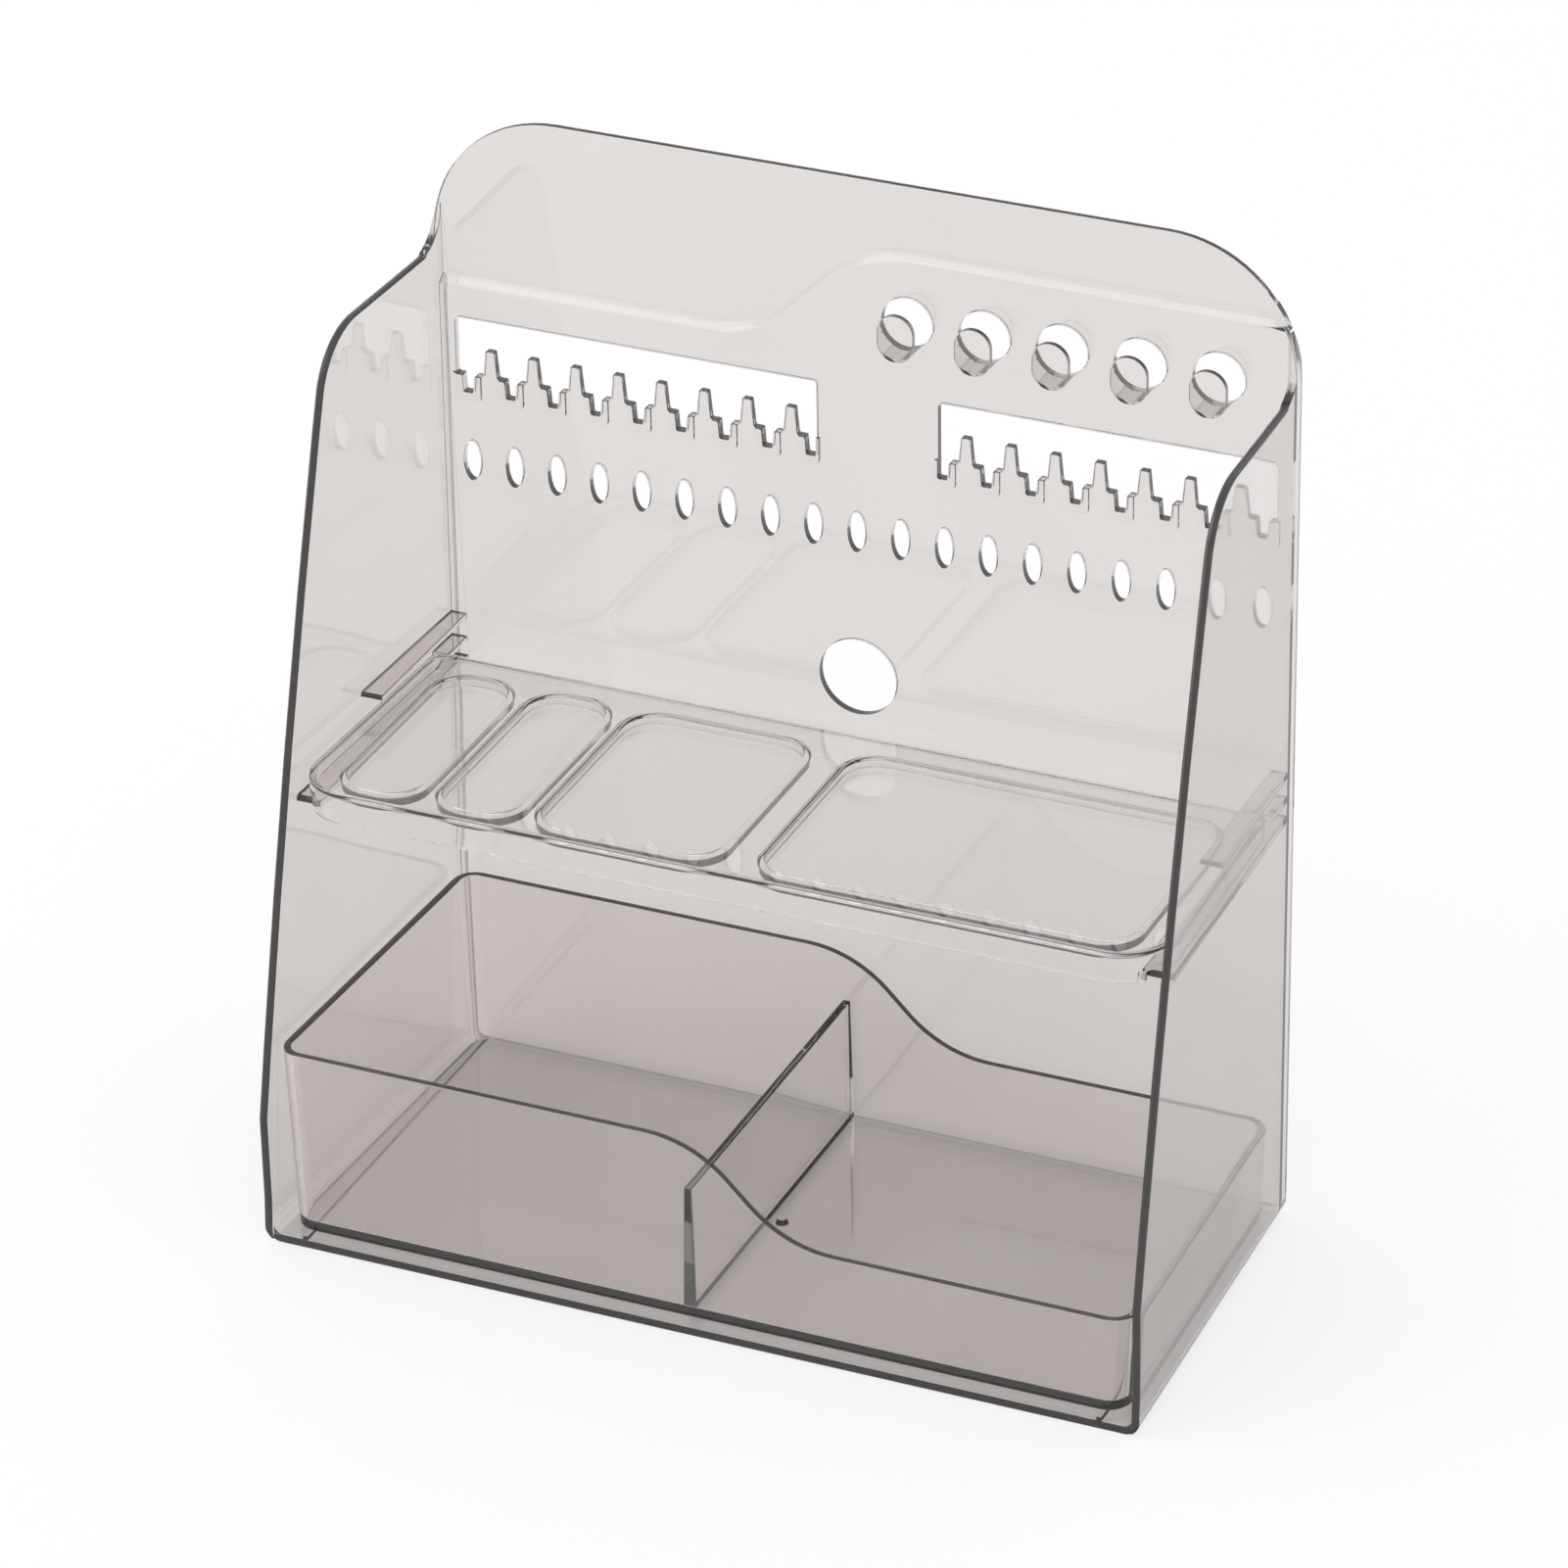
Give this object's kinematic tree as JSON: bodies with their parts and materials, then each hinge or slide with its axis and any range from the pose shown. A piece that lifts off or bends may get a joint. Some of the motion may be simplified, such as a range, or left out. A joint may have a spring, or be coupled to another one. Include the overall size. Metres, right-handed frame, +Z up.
{
  "type": "desktop makeup and jewellery organizer",
  "caption": "Free-standing smoky clear organizer: open housing with earring slots and necklace hooks in its back panel, a sliding tray and a drawer with a divider.",
  "frame": {"origin": "middle of the underside, on the table", "axes": "+Z up to the top of the back panel, -Y to the front, where the drawer and the tray slide out, X across"},
  "size_m": [0.265, 0.1244, 0.3],
  "materials": {
    "smoky_plastic": "glossy transparent"
  },
  "bodies": {
    "housing": {"housing": "smoky_plastic"},
    "tray": {"tray": "smoky_plastic"},
    "drawer": {"drawer": "smoky_plastic", "divider": "smoky_plastic"}
  },
  "joints": [
    {"name": "tray_slide", "type": "slide", "parent": "housing", "child": "tray", "axis": [0, -1, 0], "range_m": [0, 0.04]},
    {"name": "drawer_slide", "type": "slide", "parent": "housing", "child": "drawer", "axis": [0, -1, 0], "range_m": [0, 0.085]}
  ]
}
